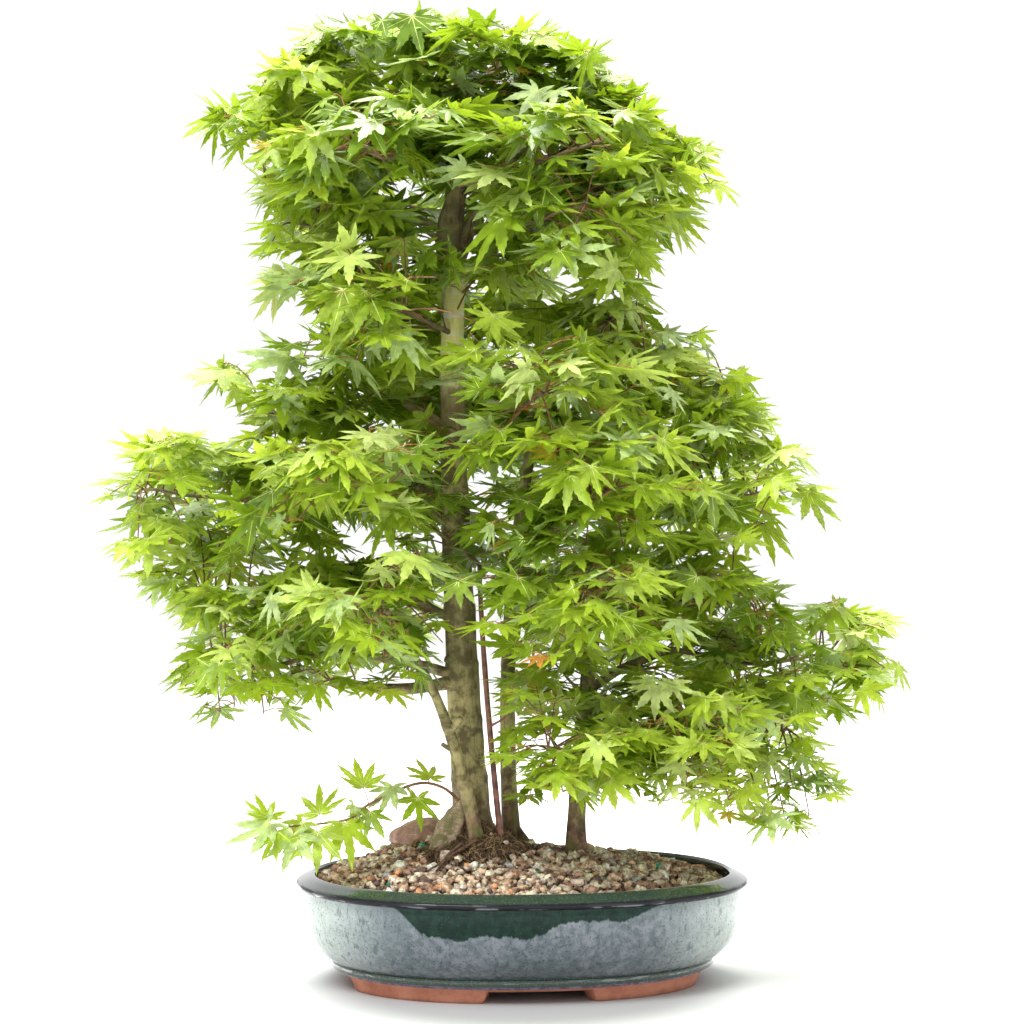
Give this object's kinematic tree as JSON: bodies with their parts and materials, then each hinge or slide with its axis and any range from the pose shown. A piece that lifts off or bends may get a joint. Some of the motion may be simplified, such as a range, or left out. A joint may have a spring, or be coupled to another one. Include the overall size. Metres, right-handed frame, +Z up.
{
  "type": "potted japanese maple",
  "caption": "Slender maple stems rising out of grit into a tall crown of drooping, lobed leaves, in an oval glazed pot on a foot ring of bare clay.",
  "frame": {"origin": "middle of the whole outline, seen from above, on the surface that the feet stand on", "axes": "+Z up along the trunk, +X to the right along the pot's length, -Y towards the viewer of the front"},
  "size_m": [0.7226, 0.4996, 0.8192],
  "materials": {
    "glaze": "mottled blue-grey glaze with a dark green lip, glossy",
    "clay": "bare fired clay, matt",
    "grit": "loose angular grit in tan, brown and grey, matt",
    "cobble": "worn reddish-brown stone, matt",
    "bark": "living bark, grey-olive with lighter flecks, matt",
    "foliage": "living leaves, fresh green, slightly waxy"
  },
  "bodies": {
    "root": {"bough_brow_front_left": "bark", "bough_high_back": "bark", "bough_high_left": "bark", "bough_high_right": "bark", "bough_low_left": "bark", "bough_middle_back": "bark", "bough_middle_left": "bark", "bough_under_left": "bark", "bough_under_right": "bark", "bough_upper_left": "bark", "bough_upper_right": "bark", "bough_wide_back_left": "bark", "bough_wide_left": "bark", "foot_ring": "clay", "leaves_brow_front_left": "foliage", "leaves_brow_front_right": "foliage", "leaves_crest_left": "foliage", "leaves_crest_right": "foliage", "leaves_foot_front_left": "foliage", "leaves_high_back": "foliage", "leaves_high_left": "foliage", "leaves_high_right": "foliage", "leaves_low_back_left": "foliage", "leaves_low_back_right": "foliage", "leaves_low_front_left": "foliage", "leaves_low_front_right": "foliage", "leaves_low_left": "foliage", "leaves_low_right": "foliage", "leaves_middle_back": "foliage", "leaves_middle_front": "foliage", "leaves_middle_left": "foliage", "leaves_middle_right": "foliage", "leaves_neck_back": "foliage", "leaves_neck_front_left": "foliage", "leaves_neck_left": "foliage", "leaves_neck_right": "foliage", "leaves_skirt_front": "foliage", "leaves_skirt_front_right": "foliage", "leaves_skirt_right": "foliage", "leaves_top": "foliage", "leaves_under_left": "foliage", "leaves_under_right": "foliage", "leaves_upper_front_right": "foliage", "leaves_upper_left": "foliage", "leaves_upper_right": "foliage", "leaves_wide_back_left": "foliage", "leaves_wide_back_right": "foliage", "leaves_wide_front_left": "foliage", "leaves_wide_front_right": "foliage", "leaves_wide_left": "foliage", "leaves_wide_right": "foliage", "pot": "glaze", "rock": "cobble", "soil": "grit", "stem_left": "bark", "stem_right": "bark", "trunk_main": "bark", "trunk_second": "bark", "trunk_third": "bark"}
  },
  "joints": []
}
